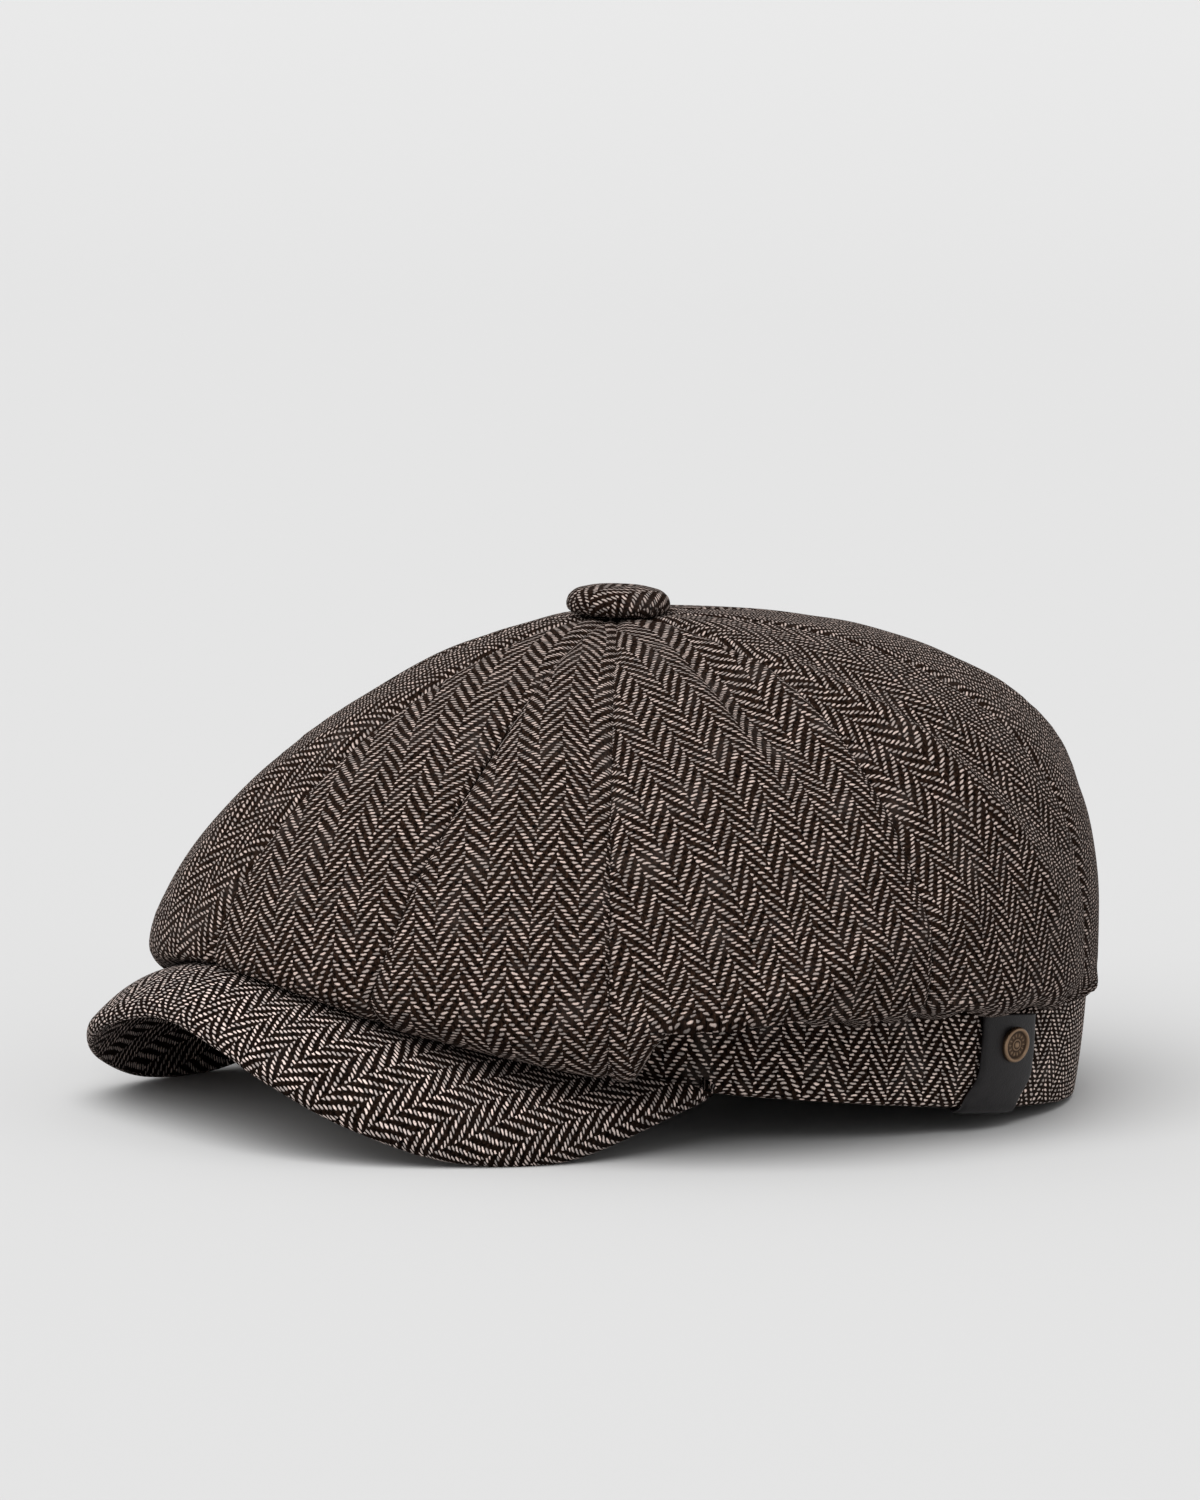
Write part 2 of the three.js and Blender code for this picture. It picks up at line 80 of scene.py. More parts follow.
crown = {
    "length": 241, "width": 205, "height": 116.5, "sink": 1.2, "wall": 2, "setting": 24, "tip": 5,
    "foldSharp": 0.7,    # how sharply the cloth turns in at its lower edge, 1 for a round turn
    "sideRound": 0.28,   # how much rounder that turn is at the two sides
    "sideStart": (68 * degree, 82 * degree), "sideEnd": (126 * degree, 112 * degree),
    "backSharp": 0.75,   # the same turn on the cloth's way up behind
    "rise": 0.3,         # the tucked cloth above the band's upper edge
    "puff": 1.6, "puffDown": 0.8, "puffAside": 0.7,    # how far a panel swells, and how full down and across it
    "buttonDiameter": 25,
    # The cloth hangs over the peak up to the first direction, and is drawn in to the band from the second
    "hangEnd": 57 * degree, "tuckStart": 63.5 * degree, "hangShare": 0.92,
    "sideDrop": 3.2,     # how far the cloth hangs below the band's upper edge at the sides
    "dropEnd": (88 * degree, 114 * degree),
    "seams": [(0, 0), (26, 8.5), (54.5, -1.5), (100, 0), (140, 0), (180, 0)],   # direction, sweep in degrees
    # Sizes of the section at even steps from front to back
    "reach": [0.922, 0.94, 0.975, 1.0, 1.014, 1.013, 1.07],
    "widest": [0.34, 0.31, 0.28, 0.3, 0.31, 0.31, 0.31],
    "fullness": [1.56, 1.58, 1.65, 1.84, 2.3, 2.7, 2.9],
    "fold": [0.8, 0.5, 0.36, 0.14, 0.14, 0.3, 0.3],
    # Folds and dents: places they pass (direction, way down the cloth), half width and height in mm
    "folds": [
        ([(106, 0.28), (111, 0.45), (116, 0.65), (125, 0.88)], 5, 3.8),
        ([(114, 0.3), (120, 0.5), (126, 0.7), (136, 0.85)], 6, -2.2),
        ([(84, 0.18), (86, 0.34), (89, 0.52)], 6, -3.0),
        ([(77, 0.2), (77, 0.36), (80, 0.52)], 5, 2.0),
        ([(95, 0.2), (97, 0.34), (100, 0.5)], 5, 1.8),
        ([(24, 0.3), (28, 0.45), (33, 0.62)], 9, -1.3),
        ([(38, 0.25), (42, 0.45), (45, 0.6)], 7, 1.6),
        ([(-8, 0.4), (-12, 0.6), (-14, 0.8)], 6, 2.0),
        ([(62, 1.0), (70, 0.97), (80, 0.92), (92, 0.88), (106, 0.84)], 5.5, 3.6),
        ([(64, 1.3), (74, 1.18), (88, 1.1), (102, 1.02)], 4, -3.0),
        ([(92, 1.2), (99, 1.4), (104, 1.7)], 5, -1.0),
        ([(118, 1.0), (126, 1.2), (138, 1.3)], 6, 1.0),
        ([(-40, 0.4), (-34, 0.7), (-33, 1.0)], 9, -1.6),
        ([(-84, 0.3), (-78, 0.6), (-80, 0.9)], 8, 1.6),
        ([(-118, 0.35), (-112, 0.65), (-116, 0.9)], 8, -1.8),
        ([(-66, 1.1), (-80, 1.0), (-98, 0.9)], 5, 1.4),
        ([(158, 0.4), (165, 0.7), (172, 0.95)], 8, 1.5),
        ([(-156, 0.6), (-162, 0.85), (-158, 1.2)], 7, -1.5),
    ],
    "fadeEnd": 0.12, "fadeShape": 0.7,    # how a fold fades at its two ends
    "tucks": 1.0, "tuckLength": 15,       # gathers above the band: height and spacing in mm
    "tuckGrow": 12 * degree, "tuckRows": (1.1, 1.8), "tuckRadius": 95, "tuckShift": 6, "tuckSlant": 9,
    # Laying a panel's cloth flat: rows and columns from one place to the next, rounds, strength of each
    "laySteps": (3, 4), "layRounds": 800, "layPull": 1.3,
    "turnedAbout": 75,    # way down the cloth, in mm, about which it is turned
    "grooveDepth": 1.0, "grooveWidth": 1.3, "grooveShape": 1.6,    # the sewn line between two panels
    "wobble": 0.3, "waveSize": 26,
    "phases": [1, 0.5, 3.2, 4, 2, 5, 1, 2.5, 4.2, 3],   # where each panel's chevrons start, in mm
    "turns": [20, 9, 8, 4, 0, 0, -4, -8, -9, -20],      # how far each panel's cloth is cut off the straight, in degrees
    "columns": 52, "upperRows": 78, "lowerRows": 26, "returnRows": 14,
}


def readTable(values, place):
    # A table whose rows stand at even steps, read smoothly at any place, and mirrored past both ends
    values = np.asarray(values, float)
    padded = np.concatenate([[values[1]], values, [values[-2]]])
    row = np.minimum(np.floor(place).astype(int), len(values) - 2)
    t = place - row
    a, b, c, d = (padded[row + k] for k in range(4))
    return b + 0.5 * t * (c - a + t * (2 * a - 5 * b + 4 * c - d + t * (3 * (b - c) + d - a)))


def smooth(t):
    t = np.clip(t, 0, 1)
    return t * t * (3 - 2 * t)


def ramp(value, start, end):
    # Goes smoothly from 0 at start to 1 at end, and stays there
    return smooth((value - start) / (end - start))


def unit(v):
    return v / np.maximum(np.linalg.norm(v, axis=-1, keepdims=True), 1e-9)


def waves(x, y, seed, size):
    # Gentle unevenness from -1 to 1, the same on every run
    rng = random.Random(seed)
    total, count = 0, 7
    for _ in range(count):
        turn, phase = rng.uniform(0, math.pi), rng.uniform(0, 2 * math.pi)
        k = 2 * math.pi / (size * rng.uniform(0.6, 1.6))
        total = total + np.sin(k * (x * math.cos(turn) + y * math.sin(turn)) + phase)
    return total / count


# Shapes shared by the solids and the cloth

def bandFloor(y):
    flatFrom = band["length"] / 2 - band["flat"]
    return band["lift"] * np.maximum(0, (flatFrom - y) / (flatFrom + band["length"] / 2))


def backRise(angle):
    return band["backRise"] * ramp(np.abs(angle), band["riseFrom"], band["riseTo"])


def bandPoint(angle, out, up):
    angle, out, up = np.broadcast_arrays(np.asarray(angle, float), out, up)
    x = band["width"] / 2 * np.sin(angle)
    y = -band["length"] / 2 * np.cos(angle)
    normal = unit(np.stack([x / band["width"] ** 2, y / band["length"] ** 2], -1))
    push = out - band["lean"] * (1 - up / band["height"])
    share = np.minimum(1, np.abs(angle) / peak["halfSpan"])
    bow = peak["arch"] * np.cos(share * math.pi / 2) ** 2
    return np.stack([x + normal[..., 0] * push, y + normal[..., 1] * push, bandFloor(y) + bow + up], -1)


def peakOuterEdge(share):
    place = np.abs(share) * (len(peak["forward"]) - 1)
    return np.stack([
        peak["width"] / 2 * np.sin(share * math.pi / 2),
        -band["length"] / 2 - peak["reach"] * readTable(peak["forward"], place),
        np.maximum(0, peak["rise"] * readTable(peak["height"], place)),
    ], -1)


def peakPoint(share, across, level):
    share, across, level = np.broadcast_arrays(np.asarray(share, float), across, level)

    def ends(s):
        return bandPoint(s * peak["halfSpan"], gap + band["lean"], 0), peakOuterEdge(s)

    def between(pair):
        return pair[0] + (pair[1] - pair[0]) * across[..., None]

    step = 0.02
    beside = np.where(np.abs(share) > 1 - step, -np.sign(share) * step, step)
    here, there = ends(share), ends(share + beside)
    along = (between(there) - between(here)) * np.sign(beside)[..., None]
    rule = here[1] - here[0]
    normal = unit(np.cross(along, rule))
    normal = np.where(normal[..., 2:] < 0, -normal, normal)
    length = np.linalg.norm(rule, axis=-1)
    camber = peak["camber"] * np.minimum(1, length / peak["reach"]) * np.sin(math.pi * across ** 1.5)
    return between(here) + normal * (camber + peak["thickness"] * level)[..., None]


def peakTopUnder(x, y):
    # Height of the peak's upper side over places in plan
    def ruleAt(share):
        inner, outer = peakPoint(share, 0, 1), peakPoint(share, 1, 1)
        rule = outer - inner
        return inner, rule, rule[..., 0] * (y - inner[..., 1]) - rule[..., 1] * (x - inner[..., 0])

    low = np.full_like(x, -peak["fullEnd"])
    high = -low
    lowSide, highSide = ruleAt(low)[2], ruleAt(high)[2]
    under = lowSide * highSide <= 0
    for _ in range(24):
        middle = (low + high) / 2
        beyond = ruleAt(middle)[2] * np.sign(highSide) > 0
        high = np.where(beyond, middle, high)
        low = np.where(beyond, low, middle)
    inner, rule, _ = ruleAt(low)
    out = ((x - inner[..., 0]) * rule[..., 0] + (y - inner[..., 1]) * rule[..., 1]) / (rule[..., :2] ** 2).sum(-1)
    under &= (out >= 0) & (out <= 1)
    return np.where(under, peakPoint(low, np.clip(out, 0, 1), 1)[..., 2], 0)


def crownPoint(direction, radius, height):
    return np.stack([radius * np.sin(direction), -crown["setting"] - radius * np.cos(direction), height], -1)


def crownSections():
    # Sizes of the crown's section at half-degree steps from front to back
    turn = np.linspace(0, math.pi, 361)
    place = turn / math.pi * (len(crown["reach"]) - 1)
    oval = 1 / np.hypot(2 * np.sin(turn) / crown["width"], 2 * np.cos(turn) / crown["length"])
    reach = oval * readTable(crown["reach"], place)
    dx, dy = 2 * np.sin(turn) / band["width"], -2 * np.cos(turn) / band["length"]
    start = -2 * crown["setting"] / band["length"]
    a, b = dx * dx + dy * dy, start * dy
    bandRadius = (-b + np.sqrt(b * b - a * (start * start - 1))) / a
    angle = np.arctan2(dx * bandRadius, -(start + dy * bandRadius))
    top = bandPoint(angle, 0, band["height"])[..., 2] + backRise(angle) + crown["rise"] + crown["wall"] / 2
    fold = bandRadius + np.maximum(reach - bandRadius, crown["wall"]) * readTable(crown["fold"], place)
    hang = 1 - ramp(turn, crown["hangEnd"], crown["tuckStart"])
    low = top - gap - hang * crown["hangShare"] * band["height"]
    low = low - crown["sideDrop"] * (1 - hang) * (1 - ramp(turn, *crown["dropEnd"]))
    for share in (0, 0.3, 0.6):
        spot = crownPoint(turn, fold + (reach - fold) * share, turn * 0)
        low = np.maximum(low, peakTopUnder(spot[..., 0], spot[..., 1]) + gap + crown["wall"] / 2)
    return {
        "turn": turn, "reach": reach, "fold": fold, "top": top, "foldHeight": np.minimum(top - gap, low),
        "end": bandRadius - band["wall"] / 2, "widest": crown["height"] * readTable(crown["widest"], place),
        "power": 2 / readTable(crown["fullness"], place),
    }


sections = crownSections()


def crownMiddle(direction, along, back, puff):
    # Middle of the cloth. along: 0 at the button, 1 at the widest place, 2 at the lower fold; back: 0 to 1 behind it
    turn = np.abs(np.arctan2(np.sin(direction), np.cos(direction)))
    at = {name: np.interp(turn, sections["turn"], sections[name]) for name in sections if name != "turn"}
    first = np.arcsin((crown["tip"] / at["reach"]) ** (1 / at["power"]))
    a = first + (math.pi / 2 - first) * np.clip(along, 0, 1)
    radius = at["reach"] * np.sin(a) ** at["power"]
    height = at["widest"] + (crown["height"] - at["widest"]) * np.maximum(np.cos(a), 0) ** at["power"]
    height -= crown["sink"] * np.exp(-(2 * radius / crown["buttonDiameter"]) ** 2)
    # Below the widest place
    a = np.clip(along - 1, 0, 1) * math.pi / 2
    sides = ramp(turn, *crown["sideStart"]) * ramp(turn, *crown["sideEnd"])
    inwards = np.maximum(np.cos(a), 0) ** (crown["foldSharp"] + crown["sideRound"] * sides)
    radius = np.where(along > 1, at["fold"] + (at["reach"] - at["fold"]) * inwards, radius)
    height = np.where(along > 1, at["widest"] - (at["widest"] - at["foldHeight"]) * np.sin(a), height)
    # Behind the lower fold, up to the band's upper edge
    a = back * math.pi / 2
    inwards = np.maximum(np.cos(a), 0) ** crown["backSharp"]
    upwards = np.sin(a) ** crown["backSharp"]
    radius = np.where(back > 0, at["end"] + (at["fold"] - at["end"]) * inwards, radius)
    height = np.where(back > 0, at["foldHeight"] + (at["top"] - at["foldHeight"]) * upwards, height)
    swell = np.maximum(np.sin(math.pi * np.clip(along, 0, 2) / 2), 0) ** crown["puffDown"]
    return crownPoint(direction, radius + crown["puff"] * swell * puff, height)


def foldRelief(points):
    # How far folds and dents move the cloth out or in
    total = np.zeros(points.shape[:2])
    at = np.linspace(0, 1, 16)
    for path, width, height in crown["folds"]:
        step = np.linspace(0, 1, len(path))
        direction, along = (np.interp(at, step, [place[k] for place in path]) for k in (0, 1))
        line = crownMiddle(direction * degree, along, at * 0, at * 0 + 1)
        away = np.linalg.norm(points[:, :, None] - line, axis=-1)
        onLine = np.clip(at[away.argmin(-1)], crown["fadeEnd"], 1 - crown["fadeEnd"])
        total += height * np.exp(-(away.min(-1) / width) ** 2) * np.sin(math.pi * onLine) ** crown["fadeShape"]
    return total


# Mesh helpers

def gridNormals(points):
    return unit(np.cross(np.gradient(points, axis=0), np.gradient(points, axis=1)))


def makeObject(name, points, faces, uv, material, slotName, *replaced):
    mesh = bpy.data.meshes.new(name)
    placed = (points + np.array([0, middleY, 0])) * mm
    mesh.from_pydata(placed.tolist(), [], faces.tolist())
    a, b, c, d = (placed[faces[:, k]] for k in range(4))
    volume = (a * np.cross(b, c)).sum() + (a * np.cross(c, d)).sum()
    if volume < 0:
        mesh.flip_normals()
    corners = np.zeros(len(mesh.loops), int)
    mesh.loops.foreach_get("vertex_index", corners)
    layer = mesh.uv_layers.new(name="clothMm")
    layer.data.foreach_set("uv", uv[corners].ravel())
    mesh.polygons.foreach_set("use_smooth", [True] * len(mesh.polygons))
    mesh.materials.append(material)
    mesh.update()
    piece = bpy.data.objects.new(name, mesh)
    bpy.context.scene.collection.objects.link(piece)
    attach(piece, "root")
    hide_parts(*replaced)


def ringFaces(rows, columns, closed):
    # Faces between rows of closed loops, and from the last row to the first where closed
    i = np.arange(rows if closed else rows - 1)[:, None] * columns
    j = np.arange(columns)[None, :]
    below, beside = (i + columns) % (rows * columns), (j + 1) % columns
    return np.stack([i + j, below + j, below + beside, i + beside], -1).reshape(-1, 4)


def loftObject(name, points, uv, material, slotName, *replaced, closed=False):
    # points: rows of closed loops. closed joins the last row to the first, otherwise the two ends are filled.
    rows, columns = points.shape[:2]
    faces = ringFaces(rows, columns, closed)
    if not closed:
        half = columns // 2
        i = np.arange(half - 1)
        for base, turned in ((0, False), ((rows - 1) * columns, True)):
            cap = np.stack([base + i, base + i + 1, base + columns - 2 - i, base + columns - 1 - i], -1)
            faces = np.concatenate([faces, cap[:, ::-1] if turned else cap])
    makeObject(name, points.reshape(-1, 3), faces, uv.reshape(-1, 2), material, slotName, *replaced)


def runLength(points, axis):
    # Length of the way along an axis of a grid, from its start
    steps = np.linalg.norm(np.diff(points, axis=axis), axis=-1)
    start = np.zeros_like(np.take(steps, [0], axis))
    return np.concatenate([start, np.cumsum(steps, axis)], axis)


def flatten(points, guess):
    # Lays curved cloth flat, starting from a guess, so that its threads keep their lengths as nearly as they can
    rows, columns = (
        np.unique(np.append(np.arange(0, count, step), count - 1))
        for count, step in zip(points.shape[:2], crown["laySteps"])
    )
    solid, first = points[np.ix_(rows, columns)], guess[np.ix_(rows, columns)]
    every, early, late = slice(None), slice(None, -1), slice(1, None)
    ties = [
        ((late, every), (early, every)), ((every, late), (every, early)),
        ((late, late), (early, early)), ((late, early), (early, late)),
    ]
    lengths = [np.linalg.norm(solid[a] - solid[b], axis=-1) for a, b in ties]
    flat = first.copy()
    for _ in range(crown["layRounds"]):
        move, count = np.zeros_like(flat), np.zeros(flat.shape[:2])
        for (a, b), length in zip(ties, lengths):
            span = flat[a] - flat[b]
            pull = span * (0.5 * (length / np.maximum(np.linalg.norm(span, axis=-1), 1e-6) - 1))[..., None]
            move[a] += pull
            move[b] -= pull
            count[a] += 1
            count[b] += 1
        flat += crown["layPull"] * move / count[..., None]
    # Rows and columns between those laid flat follow their neighbours
    shift = flat - first
    for axis, kept in ((0, rows), (1, columns)):
        wanted = np.arange(points.shape[axis])
        shift = np.apply_along_axis(lambda line: np.interp(wanted, kept, line), axis, shift)
    return guess + shift


def unrolled(inner, outer):
    # Lays a curved strip flat, one narrow piece after another from its middle to both ends
    def corner(a, b, fromA, fromB, side):
        ab = b - a
        gapAB = max(float(np.hypot(*ab)), 1e-6)
        along = (fromA ** 2 - fromB ** 2 + gapAB ** 2) / (2 * gapAB)
        off = math.sqrt(max(fromA ** 2 - along ** 2, 0))
        return a + (ab * along + np.array([-ab[1], ab[0]]) * side * off) / gapAB

    def away(a, b):
        return float(np.linalg.norm(a - b))

    middle = len(inner) // 2
    flatIn, flatOut = np.zeros((len(inner), 2)), np.zeros((len(inner), 2))
    flatOut[middle] = 0, -away(inner[middle], outer[middle])
    for side, order in ((1, range(middle + 1, len(inner))), (-1, range(middle - 1, -1, -1))):
        for i in order:
            last = i - side
            a, b = flatIn[last], flatOut[last]
            flatIn[i] = corner(a, b, away(inner[last], inner[i]), away(outer[last], inner[i]), side)
            flatOut[i] = corner(flatIn[i], b, away(inner[i], outer[i]), away(outer[last], outer[i]), side)
    return flatIn, flatOut


# Materials

def feed(tree, node, values):
    # Gives each named or numbered input its value: another node's output is linked, anything else is set
    for key, value in values.items():
        socket = node.inputs[key]
        if isinstance(value, bpy.types.NodeSocket):
            tree.links.new(value, socket)
        else:
            socket.default_value = (*value, 1) if socket.type == "RGBA" else value
    return node


def mathNode(tree, operation, *values, clamp=False):
    node = tree.nodes.new("ShaderNodeMath")
    node.operation, node.use_clamp = operation, clamp
    return feed(tree, node, dict(enumerate(values))).outputs[0]


def vectorNode(tree, operation, first, second):
    node = tree.nodes.new("ShaderNodeVectorMath")
    node.operation = operation
    return feed(tree, node, {0: first, "Scale" if operation == "SCALE" else 1: second}).outputs[0]


def mixColour(tree, share, first, second, blend="MIX"):
    node = tree.nodes.new("ShaderNodeMix")
    node.data_type, node.blend_type = "RGBA", blend
    return feed(tree, node, {0: share, 6: first, 7: second}).outputs[2]


def noiseNode(tree, vector, scale, detail, output="Fac"):
    node = tree.nodes.new("ShaderNodeTexNoise")
    return feed(tree, node, {"Vector": vector, "Scale": scale, "Detail": detail}).outputs[output]


def mapRange(tree, value, start, end, kind="LINEAR"):
    # 0 at start and below, 1 at end and beyond
    node = tree.nodes.new("ShaderNodeMapRange")
    node.interpolation_type = kind
    return feed(tree, node, {"Value": value, 1: start, 2: end, 3: 0.0, 4: 1.0}).outputs[0]


def bumpNode(tree, height, strength, depth):
    node = tree.nodes.new("ShaderNodeBump")
    return feed(tree, node, {"Height": height, "Strength": strength, "Distance": depth * mm}).outputs[0]


def startGroup(name, inputs, outputs):
    tree = bpy.data.node_groups.new(name, "ShaderNodeTree")
    for label, kind, value in inputs:
        socket = tree.interface.new_socket(label, in_out="INPUT", socket_type="NodeSocket" + kind)
        if value is not None:
            socket.default_value = value
    for label, kind in outputs:
        tree.interface.new_socket(label, in_out="OUTPUT", socket_type="NodeSocket" + kind)
    return tree, tree.nodes.new("NodeGroupInput").outputs, tree.nodes.new("NodeGroupOutput")


# Herringbone: two-up two-down twill that turns back every few ends. Light weft floats lie on a dark warp.
herringbone = {
    # The yarns wander a little, slowly over the cloth and quickly yarn by yarn: scale, detail, strength
    "drift": (0.03, 1, 13), "shiver": (0.4, 3, 2.5),
    # Half a float in ends and in picks, each with the power that rounds it off, its slant, and how soft its edge is
    "floatLength": (1.06, 2.6), "floatWidth": (0.275, 2.0), "floatSlant": 0.09, "floatEdge": (1.45, 0.35),
    # Scale and detail of the noises
    "fibreNoise": (3.2, 3), "mottleNoise": (1.1, 2), "patchNoise": (0.09, 2),
    # Spread and start of the tones: from float to float, of the fibres, over each warp end (painted highlight along its
    # top and painted shade between ends), of the ground, of loose wool
    "floatTone": (0.75, 0.5), "fibreTone": (0.9, 0.55), "warpPaintedShade": (1.2, 0.6), "mottle": (5.6, -1.65),
    "patches": (4.0, -2.1),
    "rosy": (0.95, 0.72, 0.62), "rosyShare": 0.35,    # some floats are rosier than others
    "woolShare": 0.33,                                # tone of loose wool, from dark to light
    "warpHeight": 0.5, "fibreHeight": 0.5,
}


def buildHerringbone():
    tree, given, end = startGroup(
        "herringboneWeave",
        [
            ("Cloth", "Vector", None), ("End pitch", "Float", 0.69), ("Pick pitch", "Float", 0.88),
            ("Ends in column", "Float", 8), ("Light", "Color", (0.5, 0.43, 0.37, 1)),
            ("Dark", "Color", (0.02, 0.015, 0.013, 1)), ("Fuzz", "Float", 0.3), ("Wander", "Float", 0.5),
        ],
        [("Color", "Color"), ("Height", "Float")],
    )
    cloth = given["Cloth"]

    def sums(operation, *values, clamp=False):
        return mathNode(tree, operation, *values, clamp=clamp)

    def wander(scale, detail, strength):
        push = vectorNode(tree, "SUBTRACT", noiseNode(tree, cloth, scale, detail, "Color"), (0.5, 0.5, 0.5))
        return vectorNode(tree, "SCALE", push, sums("MULTIPLY", given["Wander"], strength))

    def fallOff(distance, half, power):
        return sums("POWER", sums("ABSOLUTE", sums("DIVIDE", distance, half)), power)

    push = vectorNode(tree, "ADD", wander(*herringbone["drift"]), wander(*herringbone["shiver"]))
    place = feed(tree, tree.nodes.new("ShaderNodeSeparateXYZ"), {0: vectorNode(tree, "ADD", cloth, push)}).outputs
    u = sums("DIVIDE", place[0], given["End pitch"])
    v = sums("DIVIDE", place[1], given["Pick pitch"])
    inColumn = sums("PINGPONG", u, given["Ends in column"])
    column = sums("FLOOR", sums("DIVIDE", u, given["Ends in column"]))
    pick = sums("FLOOR", v)
    acrossPick = sums("SUBTRACT", sums("FRACT", v), 0.5)
    jump = sums("MULTIPLY", sums("FLOORED_MODULO", column, 2), 2)   # the clean break between columns
    step = sums("ADD", sums("ADD", inColumn, pick), jump)
    alongFloat = sums("WRAP", step, 2, -2)   # 0 in the middle of a weft float
    slanting = sums("MULTIPLY_ADD", alongFloat, herringbone["floatSlant"], acrossPick)
    roundness = sums(
        "ADD", fallOff(alongFloat, *herringbone["floatLength"]), fallOff(slanting, *herringbone["floatWidth"]),
    )
    weft = mapRange(tree, roundness, *herringbone["floatEdge"], "SMOOTHSTEP")
    # Each float has its own tone
    floatNumber = sums("FLOOR", sums("DIVIDE", sums("ADD", step, 2), 4))
    ident = feed(tree, tree.nodes.new("ShaderNodeCombineXYZ"), {0: floatNumber, 1: pick, 2: column}).outputs[0]
    own = feed(tree, tree.nodes.new("ShaderNodeTexWhiteNoise"), {"Vector": ident}).outputs["Value"]
    fibres, mottle, patches = (
        noiseNode(tree, cloth, *herringbone[name]) for name in ("fibreNoise", "mottleNoise", "patchNoise")
    )
    tone = sums(
        "MULTIPLY", sums("MULTIPLY_ADD", own, *herringbone["floatTone"]),
        sums("MULTIPLY_ADD", fibres, *herringbone["fibreTone"]),
    )
    light = vectorNode(tree, "SCALE", given["Light"], tone)
    light = mixColour(tree, sums("MULTIPLY", own, herringbone["rosyShare"]), light, herringbone["rosy"], "MULTIPLY")
    warp = sums("PINGPONG", u, 0.5)   # 0 between two warp ends, 0.5 on top of one
    # Painted shade on the warp: each end is painted lighter along its top and darker between two ends, over the
    # ground's own mottle
    tone = sums(
        "MULTIPLY", sums("MULTIPLY_ADD", warp, *herringbone["warpPaintedShade"]),
        sums("MULTIPLY_ADD", mottle, *herringbone["mottle"]),
    )
    woven = mixColour(tree, weft, vectorNode(tree, "SCALE", given["Dark"], tone), light)
    # Loose wool lies over the weave in patches and greys it
    haze = sums("MULTIPLY", given["Fuzz"], sums("MULTIPLY_ADD", patches, *herringbone["patches"], clamp=True))
    wool = mixColour(tree, herringbone["woolShare"], given["Dark"], given["Light"])
    under = sums(
        "ADD", sums("MULTIPLY", warp, herringbone["warpHeight"]), sums("MULTIPLY", fibres, herringbone["fibreHeight"]),
    )
    feed(tree, end, {"Color": mixColour(tree, haze, woven, wool), "Height": sums("ADD", weft, under)})
    return tree


herringboneWeave = buildHerringbone()


def startMaterial(name):
    # The material, its tree and shader, and the place on the piece in mm
    material = bpy.data.materials.new(name)
    material.use_nodes = True
    tree = material.node_tree
    place = tree.nodes.new("ShaderNodeUVMap")
    place.uv_map = "clothMm"
    return material, tree, tree.nodes["Principled BSDF"], place.outputs[0]


tweed = {
    "End pitch": 0.69, "Pick pitch": 0.94, "Ends in column": 8.0, "Fuzz": 0.1, "Wander": 0.45,
    "Light": (0.435, 0.374, 0.346), "Dark": (0.0108, 0.0058, 0.0038),
    "bump": 0.7, "bumpDepth": 0.35, "roughness": 0.92, "shine": 0.02,
    "sheen": 0.02, "sheenRoughness": 0.3, "sheenTint": (0.8, 0.66, 0.58),
}


def tweedMaterial(name, **changed):
    values = {**tweed, **changed}
    material, tree, shader, place = startMaterial(name)
    weave = tree.nodes.new("ShaderNodeGroup")
    weave.node_tree = herringboneWeave
    feed(tree, weave, {"Cloth": place})
    feed(tree, weave, {socket.name: values[socket.name] for socket in weave.inputs if socket.name in values})
    feed(tree, shader, {
        "Base Color": weave.outputs["Color"],
        "Normal": bumpNode(tree, weave.outputs["Height"], values["bump"], values["bumpDepth"]),
        "Roughness": values["roughness"], "Specular IOR Level": values["shine"],
        "Sheen Weight": values["sheen"], "Sheen Roughness": values["sheenRoughness"],
        "Sheen Tint": values["sheenTint"],
    })
    return material


crownTweed = tweedMaterial("crownTweed")
# The band is the crown's tweed painted lighter: painted light that makes up for the shade the crown's overhang casts on
# it
bandTweedPaintedLight = tweedMaterial("bandTweedPaintedLight", Light=(0.78, 0.68, 0.63))
peakTweed = tweedMaterial("peakTweed", **{
    "End pitch": 0.64, "Pick pitch": 0.87, "Light": (0.66, 0.575, 0.54), "Dark": (0.007, 0.0038, 0.0026), "Fuzz": 0.02,
})
buttonTweed = tweedMaterial("buttonTweed")

leather = {
    "grain": 2.2, "grainHeight": 0.5, "wrinkles": (0.35, 4), "bump": 0.35, "bumpDepth": 0.2,
    "dark": (0.0055, 0.0048, 0.005), "worn": (0.02, 0.0175, 0.0185), "wear": (1.5, -0.3),
    "roughness": 0.3, "roughSpread": 0.25, "shine": 0.18,
}


def leatherMaterial():
    material, tree, shader, place = startMaterial("tabLeather")
    grain = feed(tree, tree.nodes.new("ShaderNodeTexVoronoi"), {"Vector": place, "Scale": leather["grain"]})
    wrinkles = noiseNode(tree, place, *leather["wrinkles"])
    height = mathNode(tree, "MULTIPLY_ADD", grain.outputs["Distance"], leather["grainHeight"], wrinkles)
    wear = mathNode(tree, "MULTIPLY_ADD", wrinkles, *leather["wear"], clamp=True)
    feed(tree, shader, {
        "Base Color": mixColour(tree, wear, leather["dark"], leather["worn"]),
        "Roughness": mathNode(tree, "MULTIPLY_ADD", wrinkles, leather["roughSpread"], leather["roughness"]),
        "Normal": bumpNode(tree, height, leather["bump"], leather["bumpDepth"]),
        "Specular IOR Level": leather["shine"],
    })
    return material


tabLeather = leatherMaterial()

brass = {
    "bright": (0.27, 0.18, 0.115), "dull": (0.05, 0.032, 0.022), "patina": (1.4, 4), "patinaShare": 0.5,
    "patinaEdge": (0.3, 1.1), "roughness": 0.36, "roughSpread": 0.25,
}


